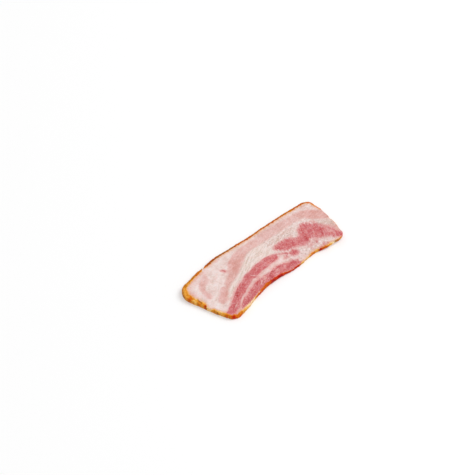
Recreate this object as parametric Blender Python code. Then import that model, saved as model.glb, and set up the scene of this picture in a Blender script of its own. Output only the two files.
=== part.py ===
"""One slice of smoked bacon lying flat: an uneven, slightly bent strip of pork belly.

+X runs from the browned end to the cut end, +Y points to the rind, +Z is up.
A place on the slice is given before the strip is bent, as its distance along it
from the browned end (s) and its distance across it from the rind (t).
"""

import bmesh
import bpy
import numpy as np

MM = 0.001

# Driving dimensions, in metres
LENGTH = 160 * MM  # along the strip
WIDTH = 58 * MM  # across the strip
THICKNESS = 3.4 * MM
EDGE_ROUND = 0.7 * MM  # radius along both rims of the side face
RIND_BROWNED_RADIUS = 13 * MM  # corners, seen from above
LEAN_BROWNED_RADIUS = 9 * MM
RIND_CUT_RADIUS = 8 * MM
LEAN_CUT_RADIUS = 3 * MM

# The two long edges, seen from above: where they start and end, and how they bow
RIND_X = (-84.1 * MM, 82.7 * MM)
RIND_Y = 30.0 * MM  # at X 0
RIND_SLOPE = -0.082
RIND_BEND_X = -15 * MM  # straight on the cut side of here
RIND_BEND_RADIUS = 217 * MM
LEAN_X = (-71.9 * MM, 70.6 * MM)
LEAN_Y = -26.3 * MM  # at its crest
LEAN_CREST_X = -18 * MM
LEAN_BROWNED_BOW = 172 * MM  # radius on the browned side of the crest
LEAN_CUT_BOW = 600 * MM

# Unevenness of the outline: (centre, half width, how far outwards), all in millimetres
RIND_OUTSET = 1.3 * MM  # the rind edge lies this far outside WIDTH where nothing bulges
LEAN_INSET = 2.2 * MM  # and the lean edge this far inside it
LEAN_BUMPS = (
    (22, 24, 1.4),
    (62, 16, -0.6),
    (94, 20, 1.7),
    (124, 12, -1.0),
    (142, 20, 2.0),
    (153, 10, 1.3),
)
RIND_BUMPS = ((51, 17, 1.2), (28, 12, 0.4))
BROWNED_BUMPS = ((14, 9, 0.4), (36, 16, 0.7), (24, 5, -0.3))
CUT_BUMPS = ((25, 34, 3.6), (41, 8, 0.5), (33, 4, -1.0), (17, 4, 0.5))

# The step in the rind, where its outer layer stops
NOTCH_S = 37.5 * MM
NOTCH_DEPTH = 1.7 * MM
NOTCH_LENGTH = 4.5 * MM

# Where the soft slice doesn't lie down: (s, t, half length, half width, height), in millimetres
LIFTS = ((160, 58, 46, 44, 2.7), (68, 30, 34, 64, 1.4), (122, 0, 36, 30, 1.2), (0, 0, 30, 24, 1.1))
SAG = 0.3 * MM  # it sinks by this much, so it lies flat wherever it would rise less
# How much thicker the slice is than THICKNESS, in the same way
SWELLS = ((30, 58, 32, 40, 0.7), (92, 58, 34, 40, -0.8), (138, 50, 26, 40, 0.3), (8, 24, 20, 40, 0.4))

COLUMNS = 60
ROWS = 22
# The side face's cross-section from the top rim down: inset and drop, as shares of EDGE_ROUND
ROUND_STEPS = ((1.0, 0.0), (0.3, 0.3), (0.0, 1.0))

MEAT_COLOUR = (0.70, 0.33, 0.33, 1.0)


def clear_scene():
    for thing in list(bpy.data.objects):
        bpy.data.objects.remove(thing, do_unlink=True)


def hill(x, centre, half_width):
    """A smooth hill: 1 at its centre, 0 from half_width away."""
    share = np.clip(np.abs(x - centre) / half_width, 0, 1)
    return (1 - share**2) ** 2


def bumps(x, rows):
    """The sum of several hills along one edge."""
    return sum(height * MM * hill(x, centre * MM, half * MM) for centre, half, height in rows)


def mounds(s, t, rows):
    """The sum of several hills over the face of the slice."""
    total = np.zeros_like(s)
    for s_mid, t_mid, s_half, t_half, height in rows:
        total += height * MM * hill(s, s_mid * MM, s_half * MM) * hill(t, t_mid * MM, t_half * MM)
    return total


def rind_line(share):
    """The rind edge, seen from above, from 0 at the browned end to 1 at the cut end."""
    x = RIND_X[0] + (RIND_X[1] - RIND_X[0]) * share
    past_bend = np.maximum(0, RIND_BEND_X - x)
    return x, RIND_Y + RIND_SLOPE * x - past_bend**2 / (2 * RIND_BEND_RADIUS)


def lean_line(share):
    """The lean edge, seen from above, likewise."""
    x = LEAN_X[0] + (LEAN_X[1] - LEAN_X[0]) * share
    radius = np.where(x < LEAN_CREST_X, LEAN_BROWNED_BOW, LEAN_CUT_BOW)
    return x, LEAN_Y - (x - LEAN_CREST_X) ** 2 / (2 * radius)


def place(s, t):
    """X and Y of a place on the slice: straight across between the two bowed edges."""
    rind_x, rind_y = rind_line(s / LENGTH)
    lean_x, lean_y = lean_line(s / LENGTH)
    across = t / WIDTH
    return rind_x + (lean_x - rind_x) * across, rind_y + (lean_y - rind_y) * across


def round_corner(s, t, corner_s, corner_t, radius):
    """Moves the points of a square corner so that its outline becomes a quarter circle."""
    inward_s = 1 if corner_s == 0 else -1
    inward_t = 1 if corner_t == 0 else -1
    a = 1 - (s - corner_s) * inward_s / radius
    b = 1 - (t - corner_t) * inward_t / radius
    near = (a > 0) & (b > 0)
    a = np.clip(a, 0, 1)
    b = np.clip(b, 0, 1)
    round_s = corner_s + inward_s * radius * (1 - a * np.sqrt(1 - b**2 / 2))
    round_t = corner_t + inward_t * radius * (1 - b * np.sqrt(1 - a**2 / 2))
    return np.where(near, round_s, s), np.where(near, round_t, t)


def notch(s):
    """How far the rind edge steps in past the end of its outer layer."""
    past = (s - NOTCH_S) / NOTCH_LENGTH
    return np.where(past > 0, NOTCH_DEPTH * np.clip(1 - past, 0, 1) ** 2, 0)


def strip_grid(inset):
    """s and t of a grid over the whole slice, its outline pulled in by inset all round."""
    s, t = np.meshgrid(
        np.linspace(0, LENGTH, COLUMNS + 1), np.linspace(0, WIDTH, ROWS + 1), indexing="ij"
    )
    s, t = round_corner(s, t, 0, 0, RIND_BROWNED_RADIUS)
    s, t = round_corner(s, t, 0, WIDTH, LEAN_BROWNED_RADIUS)
    s, t = round_corner(s, t, LENGTH, 0, RIND_CUT_RADIUS)
    s, t = round_corner(s, t, LENGTH, WIDTH, LEAN_CUT_RADIUS)
    along = s / LENGTH
    across = t / WIDTH
    start = inset - bumps(t, BROWNED_BUMPS)
    stop = LENGTH - inset + bumps(t, CUT_BUMPS)
    rind = inset + notch(s) - RIND_OUTSET - bumps(s, RIND_BUMPS)
    lean = WIDTH - LEAN_INSET - inset + bumps(s, LEAN_BUMPS)
    return start + (stop - start) * along, rind + (lean - rind) * across


def surface_points(inset, drop, top):
    """The grid's points on the upper or lower face, drop inwards from it."""
    s, t = strip_grid(inset)
    x, y = place(s, t)
    z = np.maximum(0, mounds(s, t, LIFTS) - SAG)
    if top:
        z = z + THICKNESS + mounds(s, t, SWELLS) - drop
    else:
        z = z + drop
    return np.stack([x, y, z], axis=-1)


def border(grid):
    """The points round the edge of a grid, anticlockwise seen from above."""
    return np.concatenate([grid[:-1, -1], grid[-1, :0:-1], grid[:0:-1, 0], grid[0, :-1]])


def ring_faces(mesh, upper, lower):
    """Joins two closed rows of vertices with a band of faces that look outwards."""
    for i, corner in enumerate(upper):
        after = (i + 1) % len(upper)
        mesh.faces.new((corner, lower[i], lower[after], upper[after]))


def face_grid(mesh, points, top):
    """Adds one face of the slice and returns its border's vertices."""
    columns, rows = points.shape[:2]
    verts = np.empty((columns, rows), dtype=object)
    for i in range(columns):
        for j in range(rows):
            verts[i, j] = mesh.verts.new(points[i, j])
    for i in range(columns - 1):
        for j in range(rows - 1):
            corners = (verts[i, j], verts[i, j + 1], verts[i + 1, j + 1], verts[i + 1, j])
            mesh.faces.new(corners if top else corners[::-1])
    return list(border(verts))


def slice_mesh():
    """The closed slice: two faces and a rounded side between them."""
    rims = [(top, inset, drop) for top in (True, False) for inset, drop in ROUND_STEPS]
    grids = [surface_points(inset * EDGE_ROUND, drop * EDGE_ROUND, top) for top, inset, drop in rims]
    all_points = np.concatenate([grid.reshape(-1, 3) for grid in grids])
    middle = (all_points.min(axis=0) + all_points.max(axis=0)) / 2
    middle[2] = all_points[:, 2].min()
    top_faces, *top_rims = [grid - middle for grid in grids[: len(ROUND_STEPS)]]
    under_faces, *under_rims = [grid - middle for grid in grids[len(ROUND_STEPS) :]]

    mesh = bmesh.new()
    rings = [face_grid(mesh, top_faces, top=True)]
    for grid in top_rims + under_rims[::-1]:
        rings.append([mesh.verts.new(point) for point in border(grid)])
    rings.append(face_grid(mesh, under_faces, top=False))
    for upper, lower in zip(rings, rings[1:]):
        ring_faces(mesh, upper, lower)
    bmesh.ops.triangulate(mesh, faces=mesh.faces, quad_method="SHORT_EDGE")
    bmesh.ops.recalc_face_normals(mesh, faces=mesh.faces)
    data = bpy.data.meshes.new("bacon_slice")
    mesh.to_mesh(data)
    mesh.free()
    return data


def meat_material():
    material = bpy.data.materials.new("cured_meat")
    material.use_nodes = True
    shader = material.node_tree.nodes["Principled BSDF"]
    shader.inputs["Base Color"].default_value = MEAT_COLOUR
    shader.inputs["Roughness"].default_value = 0.45
    shader.inputs["Metallic"].default_value = 0.0
    return material


def build_slice():
    data = slice_mesh()
    data.materials.append(meat_material())
    data.shade_smooth()
    bacon = bpy.data.objects.new("bacon_slice", data)
    bpy.context.scene.collection.objects.link(bacon)


clear_scene()
build_slice()
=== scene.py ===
"""The finish of one slice of smoked bacon: a finely modelled strip with its layers, rind and crust.

Shapes are worked out in millimetres. A place on the slice is given before the strip is bent,
as its distance along it from the browned end (s) and across it from the rind (t).
"""

import math
from functools import reduce

import bpy
import numpy as np
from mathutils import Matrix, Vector, kdtree


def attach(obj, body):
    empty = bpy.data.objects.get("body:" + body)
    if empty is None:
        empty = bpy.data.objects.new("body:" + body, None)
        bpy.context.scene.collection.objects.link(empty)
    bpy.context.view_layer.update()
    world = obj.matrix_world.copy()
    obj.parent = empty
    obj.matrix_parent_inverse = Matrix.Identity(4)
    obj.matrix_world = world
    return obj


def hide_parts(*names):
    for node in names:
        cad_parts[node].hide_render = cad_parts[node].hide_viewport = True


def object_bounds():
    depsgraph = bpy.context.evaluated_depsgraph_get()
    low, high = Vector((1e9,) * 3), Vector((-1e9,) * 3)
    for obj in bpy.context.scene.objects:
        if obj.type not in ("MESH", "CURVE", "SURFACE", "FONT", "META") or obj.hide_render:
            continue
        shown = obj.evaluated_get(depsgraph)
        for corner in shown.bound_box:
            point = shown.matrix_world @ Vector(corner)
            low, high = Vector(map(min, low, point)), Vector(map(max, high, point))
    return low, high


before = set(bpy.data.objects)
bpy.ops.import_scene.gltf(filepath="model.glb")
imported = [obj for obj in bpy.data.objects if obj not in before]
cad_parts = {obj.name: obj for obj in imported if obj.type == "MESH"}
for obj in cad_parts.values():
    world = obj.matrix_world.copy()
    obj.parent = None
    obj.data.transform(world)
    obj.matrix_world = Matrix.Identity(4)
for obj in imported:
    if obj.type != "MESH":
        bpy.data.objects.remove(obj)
cad_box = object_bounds()

MM = 0.001

# The strip's form, with the same sizes as its CAD solid
LENGTH = 160.0
WIDTH = 58.0
THICKNESS = 3.4
EDGE_ROUND = 0.7
RIND_BROWNED_RADIUS = 13.0
LEAN_BROWNED_RADIUS = 9.0
RIND_CUT_RADIUS = 8.0
LEAN_CUT_RADIUS = 3.0
RIND_X = (-84.1, 82.7)
RIND_Y = 30.0
RIND_SLOPE = -0.082
RIND_BEND_X = -15.0
RIND_BEND_RADIUS = 217.0
LEAN_X = (-71.9, 70.6)
LEAN_Y = -26.3
LEAN_CREST_X = -18.0
LEAN_BROWNED_BOW = 172.0
LEAN_CUT_BOW = 600.0
# Unevenness of the outline: (centre, half width, how far outwards)
RIND_OUTSET = 1.3
LEAN_INSET = 2.2
LEAN_BUMPS = ((22, 24, 1.4), (62, 16, -0.6), (94, 20, 1.7), (124, 12, -1), (142, 20, 2), (153, 10, 1.3))
RIND_BUMPS = ((51, 17, 1.2), (28, 12, 0.4))
BROWNED_BUMPS = ((14, 9, 0.4), (36, 16, 0.7), (24, 5, -0.3))
CUT_BUMPS = ((25, 34, 3.6), (41, 8, 0.5), (33, 4, -1.0), (17, 4, 0.5))
NOTCH_S = 37.5
NOTCH_DEPTH = 1.7
NOTCH_LENGTH = 4.5
# Mounds over the face: (s, t, half length, half width, height)
LIFTS = ((160, 58, 46, 44, 2.7), (68, 30, 34, 64, 1.4), (122, 0, 36, 30, 1.2), (0, 0, 30, 24, 1.1))
SAG = 0.3
SWELLS = ((30, 58, 32, 40, 0.7), (92, 58, 34, 40, -0.8), (138, 50, 26, 40, 0.3), (8, 24, 20, 40, 0.4))
# How each edge is frayed: (seed, depth)
BROWNED_FRAY = (1, 0.5)
CUT_FRAY = (2, 0.6)
RIND_FRAY = (3, 0.2)
LEAN_FRAY = (4, 0.5)
FRAY_LENGTH = 5  # of its ripples
FRAYED_RIND_OUTSET = 0.1  # what its fraying takes off on average

# The fine mesh
COLUMNS = 350
ROWS = 118
CROWDING = 0.35  # how much closer its lines lie near the edges
RIM_STEPS = 4  # round each rim of the side face
SIDE_STEPS = 4  # between the two rims
BOX_MARGIN = 0.01  # it stays this far inside the CAD solid's box

# The flat sheet on which its surface is laid out for its textures
SHEET = 167.5  # how wide and high the sheet is
SHEET_GAP = 0.8
SHEET_ROWS = 3  # the side face's outline is cut into so many rows
SHEET_STEP = 0.5  # from one ring of the side face to the next

# Layers, as closed outlines through (s, t) places. They run out past the slice's edges.
LEAN_OUTER = (
    (-6.2, 55.2), (9.4, 55.1), (14, 54.4), (18.5, 52.4), (22, 51), (26, 49.9), (30, 49.2), (35, 48.7),
    (42.3, 47.3), (48, 46), (54, 45.1), (60, 45.5), (71.6, 45.6), (78.5, 44.8), (83, 44.5), (87.4, 45.7),
    (92.3, 47.9), (97.3, 48), (100.3, 49.6), (102.7, 52.4), (103.6, 55.4), (103.4, 57.4), (100, 58.6),
    (95, 57.6), (88, 56.4), (82, 56.2), (76, 58), (64, 60), (54, 58), (48, 55.6), (42, 55.4), (36, 55.8),
    (30, 56.1), (24, 55.8), (19, 55.1), (14, 55), (9.4, 55.6), (-6.3, 55.6),
)
LEAN_INNER = (
    (-6.2, 55.2), (7, 54.9), (12, 54), (16.5, 52.2), (20, 50), (24, 48.4), (28, 47.6), (33, 46.5),
    (38, 45.5), (43.3, 43.7), (50.1, 42.4), (54, 41.1), (58, 42), (65.7, 40.6), (77.5, 39.4), (86.4, 39.1),
    (91.3, 37.1), (93.2, 34.5), (93, 32.3), (89.4, 30.6), (83.4, 29.9), (71.6, 30.3), (61.8, 32),
    (52, 33.3), (46.1, 34.8), (38.4, 36.7), (31.6, 38.5), (25.8, 40.2), (19, 42.6), (11.3, 44.4),
    (3.6, 44.9), (-6.4, 44.6),
)
LEAN_CUT_END = (
    (96.4, 28.2), (98, 26), (102.4, 24.5), (108.3, 24.2), (114.3, 24.9), (117.8, 26.3), (120.8, 29.6),
    (123.8, 30.2), (126.4, 27.6), (128.6, 24.6), (131.8, 22), (136, 20.4), (139.8, 21.6), (143.5, 25),
    (147.4, 28.4), (150, 32.5), (152, 36.6), (155, 40.4), (159.5, 44), (163, 49), (163, 56), (160.5, 64),
    (157.5, 62.5), (154.8, 59.2), (152, 57), (149.8, 55.2), (148, 53), (146.4, 50.6), (142.6, 48),
    (139, 46.2), (136, 44.4), (133.6, 42.6), (131.8, 40.8), (130.4, 40), (128.6, 41), (126.2, 42.4),
    (123.2, 43), (120.2, 41.9), (116.3, 39.2), (110.3, 37.4), (105.3, 36.3), (101.8, 34), (98.3, 30.4),
)
PALE_BAND = (
    (11, 38), (13.2, 38.5), (19, 37.7), (24.8, 35.3), (29.6, 32.6), (34.4, 31), (42.2, 29.3), (50, 27.2),
    (56.9, 24.2), (63.7, 20.7), (70.6, 17.2), (78.5, 14.4), (87.4, 13.8), (109.4, 14), (140, 14.6),
    (146, 18.5), (151, 23), (156, 27.5), (162, 31), (169.6, 34), (169.6, 22), (162.5, 18), (157.2, 13.5),
    (152.3, 9.5), (145.7, 6.5), (131.5, 4.9), (102.5, 3.9), (85.5, 4.9), (74.6, 5.4), (65.7, 7.6),
    (57.8, 10.8), (54.5, 12.4), (52.5, 14.8), (50.5, 16.6), (46, 19), (44.8, 20.6), (40.2, 23.2),
    (34.4, 25.4), (31, 27.9), (27.6, 26.5), (20.8, 29.1), (15, 31.6), (11.4, 33.6),
)
PALE_STREAK = (
    (10.4, 25.6), (11.6, 20.6), (13.8, 15.8), (16.6, 11.6), (20.2, 8.8), (24.6, 7.4), (29, 6.2), (32.4, 4),
    (33.4, 6), (31.8, 9.4), (29, 12.2), (25.4, 13.8), (21, 14.8), (18, 17.2), (16, 20.8), (13.8, 25.6),
)
CREAM_FAT = (
    (17.1, 41.6), (30.6, 42.6), (59.8, 38.8), (89.4, 37.1), (96.4, 29.2), (124.3, 35.3), (139.5, 25.4),
    (145.6, 19.5), (141.6, 12.5), (69.6, 12.2), (50, 23), (30.5, 29.9), (18.9, 35.7),
)
OVAL_LEAN = (
    (103.1, 45), (106.2, 47), (109.7, 46.2), (112.2, 43.7), (110.1, 40.7), (107, 38.5), (104.1, 41),
)
CURVE_STEPS = 5  # points from each place of an outline to the next
# How strong the pale band and the streak are at each s along them
BAND_STRENGTH = (
    (0, 0.7), (20, 0.85), (48, 0.8), (55, 1), (62, 0.9), (76, 0.8), (90, 0.65), (140, 0.6), (150, 0.9),
)
STREAK_STRENGTH = ((10, 0.9), (14, 0.74), (24, 0.66), (34, 0.45))
FAR = 8.0  # distances from an outline are measured up to here
# Where the inner lean's side towards the rind lies: (s, t)
INNER_LEAN_LINE = ((-5, 48.5), (20, 43.5), (50, 35), (70, 31), (95, 30), (165, 30))
CUT_END_START = (93, 97)  # the s over which the layers give way to the lean of the cut end
SLANT = (0.15, 0.25)  # how far the layers shift in s and t for each millimetre of depth
LAYER_EDGE = (-0.6, 0.6)  # from outside to inside the soft edge of a layer

# Thin lines of lean in the fat: (s, t, s, t, half width)
LEAN_LINES = (
    (93.4, 32.7, 98.3, 36.4, 0.6), (98.3, 36.4, 102.7, 40.1, 0.6), (97.4, 41.8, 101.1, 39, 0.6),
    (46.4, 13.9, 46.2, 16.4, 0.6), (105.4, 42.4, 109.4, 43.4, 2.7), (134.2, 56.5, 136.4, 53.4, 0.7),
    (130.6, 54.5, 132.1, 56, 0.3), (138, 57.5, 139.4, 55.6, 0.3), (131.5, 47.6, 134, 45.6, 0.2),
)
# Thin lines of fat in the lean
FAT_LINES = (
    (53.2, 50.6, 57.4, 47.4, 0.15), (77.5, 50.1, 80.2, 47.3, 0), (9, 49.8, 13.2, 48.5, 0.1),
    (13.2, 48.5, 19.5, 47.4, 0.05), (56, 37.2, 60, 42.6, 0.25), (90.9, 29.8, 102.8, 36.9, 0.7),
)
# Where the lean is deeper or, below zero, paler: (s, t, s, t, half width, by how much)
LEAN_TONES = (
    (9.4, 49.8, 20, 46.6, 1.6, 0.6), (6, 48, 15, 46.8, 2.6, 0.8), (21, 45.3, 27.6, 42.8, 2.6, 0.7),
    (26.5, 42.8, 31, 40.7, 2.2, 1.3), (30.6, 41.4, 41.3, 39.3, 2.8, 0.7),
    (42.3, 39.9, 50, 37, 3, 0.2), (50.5, 34.8, 53, 36.6, 1.8, 0.8), (57.4, 35.5, 65.7, 38.5, 3.6, 0.2),
    (70.6, 33.5, 73.6, 38, 2.8, 0.3), (82.4, 33.6, 89.4, 35.7, 3, 0.2), (66.9, 34, 68.5, 39.9, 1.5, -0.4),
    (76.7, 31.1, 78.3, 39.5, 1.7, -0.5), (54, 34.2, 57, 35.2, 2, 0.6), (23, 55, 32.7, 54.6, 2.2, 0.9),
    (36.5, 52.5, 48.2, 50.2, 2, 0.5), (48, 49, 53, 47, 1.3, 0.8), (54.4, 52.2, 55.6, 51.2, 1.2, 1.2),
    (63, 52.6, 68, 51.6, 1.6, 0.7), (70, 48.4, 75.5, 47.4, 1.5, 0.5), (81.9, 48.1, 86.4, 46.7, 2, 0.3),
    (86.4, 48.8, 91, 49, 2.2, -0.9), (56, 48.6, 62, 48.4, 1.7, -1), (62, 48.2, 69, 47, 1.5, -0.7),
    (80, 50.4, 87, 50.8, 2, -0.9), (81, 53.4, 88, 53.4, 1.5, 0.7), (52, 54.4, 60, 53.4, 1.6, 0.5),
    (87.3, 52.3, 98.3, 50.9, 3.4, 0.8), (95.3, 49.3, 98.5, 47.9, 1.3, 0.5),
    (45.3, 53.4, 52, 49.2, 1.2, -0.7), (58.9, 50.2, 62.8, 47, 1, -0.8), (68.7, 53.6, 77.5, 51.5, 1.4, -0.8),
    (5, 54.2, 15, 53.8, 3, -1.7), (8, 52.4, 17, 51.4, 1.8, -0.6),
    (99.9, 28.5, 100.7, 29, 3, 1.0), (107.7, 27.3, 109.3, 34.7, 2.4, 0.3),
    (113.9, 27.3, 115.3, 34.7, 2.2, 0.3), (120.3, 35.8, 122.8, 37.6, 3, 0.8),
    (127.6, 38.8, 129.4, 33, 2.4, 1.2), (129.5, 30, 133, 26, 2, 0.6), (135.4, 30.8, 137.4, 26.9, 2, 0.3),
    (142.7, 43.7, 145, 37.9, 1.8, 0.9), (145.6, 34, 147, 37.8, 1.6, 0.5), (141, 34, 143, 29, 1.5, 0.5),
    (139.6, 45.6, 142.3, 41.9, 1.6, 0.3), (103.8, 26.2, 104.9, 34.2, 1.5, -0.6),
    (111.1, 26.3, 112, 34.2, 1.2, -0.6), (117.3, 27.3, 118.2, 36.2, 1.2, -0.4),
    (135.5, 39.2, 140.6, 32.8, 1.1, -1), (133, 42.4, 138, 37.8, 0.9, -0.8), (138, 43.5, 140.5, 41, 0.9, -0.6),
    (149, 44, 151.5, 40, 1.2, -0.7), (147.6, 50.8, 150.2, 46.4, 1.2, -0.7), (150.6, 54.6, 152, 49, 1.1, -0.9),
    (141.4, 29.8, 144.3, 27.4, 1.6, -0.7), (157, 40, 160, 47, 5.5, -1.7), (152.5, 38, 155.5, 42.4, 3.5, -0.7),
    (155, 56.3, 157, 52.3, 2.2, 0.7), (148.6, 55.3, 149.6, 51.3, 1.5, 0.3),
    (152.5, 50.4, 154.5, 45.4, 2.5, -0.3), (133.1, 54.5, 136.6, 54.6, 2.5, 0.4),
    (148, 43, 150.5, 48, 2, 0.5), (119.5, 42, 127, 42, 2.4, -0.6), (94, 33.2, 102, 39.6, 1.8, 0.5),
    (105.5, 43, 109, 43.4, 3, 0.6), (20, 54.5, 96, 50.5, 8, 0.25), (150, 36, 151.5, 46, 3, -0.9),
    (151.5, 57.5, 154, 57.5, 3, -0.9), (46, 35.8, 50, 35.6, 2, -0.6), (94, 54.6, 103, 54, 3, -0.3),
    (159, 47, 162, 56, 4.5, -1.3), (46.4, 13.9, 46.2, 16.4, 2, 1.3),
    (55.2, 51.4, 58, 49.2, 1, 1.6), (66.6, 50, 69.5, 48.2, 1, 1.5), (71.5, 47.5, 74.2, 46.5, 1, 1.5),
    (80.8, 47.2, 83.5, 47, 0.9, 1.3), (75.5, 45.3, 76.5, 45.8, 0.9, -2), (77.2, 48.3, 79.2, 48.2, 0.9, -1.8),
    (61.5, 46.2, 63.5, 46.5, 0.9, -1.6), (71.5, 51.5, 73.5, 51.2, 0.9, -1.5),
)
# Pink tinges in the fat, likewise
FAT_PINKS = (
    (5.2, 7, 5.8, 12, 3.6, 0.8), (45.2, 13.8, 46.9, 16.2, 2.3, 0.9), (45, 8, 45.3, 13.5, 1.3, 0.4),
    (33.3, 15.7, 37.2, 15.9, 1.5, 0.4), (8, 6, 38, 4, 5, 0.45), (8, 12, 10, 24, 5, 0.4),
    (17, 38.6, 21, 39.4, 2.4, 0.6),
    (51.9, 2.9, 53.8, 2.7, 1.8, 0.6), (42, 2.3, 44, 2.7, 2, 0.4), (12, 53.8, 24, 51.4, 2.4, 1.1),
    (24, 50.6, 42.3, 46.2, 2, 0.5), (42.3, 46.2, 57.9, 43.4, 2.6, 0.6), (57.9, 43.4, 75, 43, 3, 0.4),
    (75, 42, 97, 43, 4, 0.5), (95, 42, 101, 44, 2.6, 0.7), (98, 46, 104, 51, 2.6, 0.5),
    (109, 39.6, 118, 41.4, 2, 0.5),
    (107.2, 52.5, 113.2, 52.4, 1.8, 0.5), (90, 38.6, 97, 38, 3, 0.5), (100.5, 37, 106, 40, 2, 0.5),
    (122, 46.5, 127.4, 46, 3.2, 0.9), (129.8, 44.7, 134, 45.2, 3, 0.5), (122.2, 50, 124.2, 52, 2, 0.4),
    (130, 49.6, 146, 52, 5, 0.35), (132.2, 46.9, 138.2, 47, 2, 0.6), (131, 55.6, 138, 55.6, 3, 0.5),
    (150.5, 36.4, 158.5, 38.4, 4, 0.8), (149.6, 20.1, 152.6, 21.5, 1.4, 0.3), (160, 40, 160, 56, 3, 0.6),
    (14, 42.6, 44.3, 33.6, 1.8, 0.45), (97.4, 24.4, 119.4, 24.8, 2.6, 0.5), (136, 20.6, 147, 25, 4, 1.2),
    (131, 42, 134, 45, 2.4, 0.9), (148, 27, 152, 34, 3, 0.9),
    (120, 25.5, 130, 22.5, 3, 0.4), (108, 21, 124, 17, 4, 0.4),
    (151, 25, 160, 33, 3.4, 0.25), (8, 2.4, 34, 2.2, 2, 0.4), (124, 50, 128, 42.6, 3.6, 0.7),
    (90, 46, 96, 47.5, 2.4, 0.6),
)
# Greyish fibres in the fat, likewise. The strokes from s 150 to 161 are painted shade, which greys the fat
# where the cut end lifts away.
FAT_GREYS_AND_SHADE = (
    (25.7, 37.1, 34.5, 34.8, 0.9, 0.8), (11.1, 30.9, 20.8, 28.3, 0.9, 0.5), (22.7, 26.5, 28.5, 24, 1, 0.6),
    (19.7, 19.1, 23.1, 16.7, 1, 0.6), (28.4, 16.1, 31.3, 15.1, 1.2, 0.5), (33.7, 11.6, 34.6, 9.2, 1.4, 0.5),
    (47.1, 31.9, 54.9, 28.2, 1, 0.8), (54.9, 26.4, 61.8, 23.1, 1, 0.8), (64.7, 23.7, 73.1, 19.2, 0.9, 1),
    (57.9, 29.6, 65.7, 26.3, 0.9, 0.8), (65.7, 25.7, 73.6, 24.7, 1.1, 0.6),
    (74.6, 28.1, 87.4, 27, 0.8, 0.5), (76.5, 23.8, 85.4, 22.2, 2.2, 0.5), (95.9, 19.7, 98.9, 19.1, 0.8, 1),
    (104.9, 20.7, 109.4, 18.9, 0.8, 1.3), (113.4, 19.2, 117.9, 17.4, 0.9, 1.5),
    (118.4, 17.8, 121.4, 17, 0.8, 1.2), (122.7, 26.7, 126.4, 23.4, 0.9, 0.8),
    (101.4, 22.7, 107.4, 22.1, 0.9, 0.5), (89.4, 25.2, 96.4, 24.2, 0.9, 0.4),
    (117.7, 48.6, 119.2, 47.3, 1.4, 0.9), (3.8, 23.1, 7.1, 20.1, 2, 0.6), (150, 30, 161, 36, 7, 0.8),
    (152, 20, 161, 22, 7, 0.9), (158, 37, 160, 46, 3, 0.6), (121, 55, 127, 51, 4, 0.3),
)
# Where brown specks lie in the fat: (s, t, s, t, half width, how strong they are)
SPECKS = (
    (103.4, 20.3, 125.4, 19.4, 5, 0.9), (81.5, 22.2, 86.4, 22.2, 3.5, 0.6), (95.4, 19.3, 99.4, 19.3, 3, 0.6),
    (108.4, 20.2, 109.8, 19.2, 1, 1.6), (114.4, 18.6, 115.6, 17.9, 1, 1.8), (119, 17.6, 121, 17, 1, 1.3),
    (112.4, 44.8, 119.5, 47.2, 2.6, 0.6), (112, 52.5, 120, 51, 2.6, 0.5),
)

# The browned rim, listed round the slice: (s, t, width on the face, tone). Tone runs from 0, pale
# yellow, through gold, orange and red to 1, dark red. Below zero width it covers only part of the
# side face, mostly low down.
RIM = (
    (164, 40, -0.7, 0.4), (163.4, 24, -0.7, 0.42), (163.4, 19, -0.6, 0.5), (163.4, 17, 0.8, 0.56),
    (161, 4, 1.6, 0.5), (150, 0, 1.9, 0.6), (136, 0, 2, 0.48), (120, 0, 2, 0.58), (104, 0, 2, 0.5),
    (88, 0, 2, 0.6), (75, 0, 2, 0.54), (60, 0, 2.1, 0.52), (52, 0, 2.3, 0.58), (47, 0, 2.5, 0.62),
    (42, 0, 2.3, 0.6), (40.4, 0, 1.7, 0.55), (39.2, 0, 0.9, 0.45), (38, 0.4, -0.7, 0.2),
    (37.2, -1.2, 2.1, 0.4), (36, 0, 2.4, 0.44), (30, 0, 2.6, 0.46), (22, 0, 2.7, 0.4), (15, 0, 3.1, 0.38),
    (8, 1, 4.2, 0.36), (3, 3, 4.8, 0.34), (0, 8, 5.4, 0.34), (0, 12, 4.5, 0.42), (0, 15, 4, 0.3),
    (0, 17.5, 4.6, 0.3), (0, 20.5, 3.3, 0.4), (0, 23.5, 3.6, 0.32), (0, 26.6, 2.2, 0.44),
    (0, 28.4, 0.4, 0.16), (0, 31.5, -0.2, 0.12), (0, 34, 1.4, 0.34), (0, 38, 1.7, 0.3), (0, 41, 1.6, 0.2),
    (0, 44, 2.3, 0.32), (0, 47.5, 2, 0.46), (0, 50, 1.4, 0.46), (1, 53, 2.5, 0.6), (5, 56, 2.3, 0.5),
    (11, 58, 1.8, 0.44), (17, 58, 0.9, 0.22), (25, 58, 0, 0.1), (34, 58, -0.4, 0.1), (37, 58, -0.5, 0.5),
    (44, 58, 0, 0.62), (49, 58, 0.8, 0.6), (57, 58, 1.9, 0.6), (60, 58, 1.3, 0.66), (64, 58, 1.1, 0.82),
    (67, 58, 1, 0.8), (69, 58, 1, 0.7), (72, 58, 1.1, 0.78), (76, 58, 1.3, 0.8), (79, 58, 1, 0.74),
    (81, 58, 0.6, 0.7), (86.5, 58, 0.3, 0.74), (92, 58, 0.3, 0.84),
    (98, 58, 0.2, 0.72), (103, 58, -0.4, 0.3), (114, 58, -0.4, 0.3), (117, 58, 0.2, 0.48),
    (122, 58, 0.3, 0.5), (124, 58, 0.2, 0.2), (126.2, 58, -0.4, 0.5), (128, 58, 0.1, 0.95),
    (130, 58, 0, 0.62), (136, 58, 0.2, 0.52), (140, 58, 0.2, 0.26), (146, 58, -0.7, 0.12),
    (149, 58, -0.5, 0.56), (153, 58, -0.4, 0.46), (157, 58, -0.5, 0.6), (159, 57, -1, 0.55),
    (160.5, 54, -1.2, 0.5),
)
RIM_START = 0.35  # the rim's width counts from here inwards, so that it covers the side face
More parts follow.
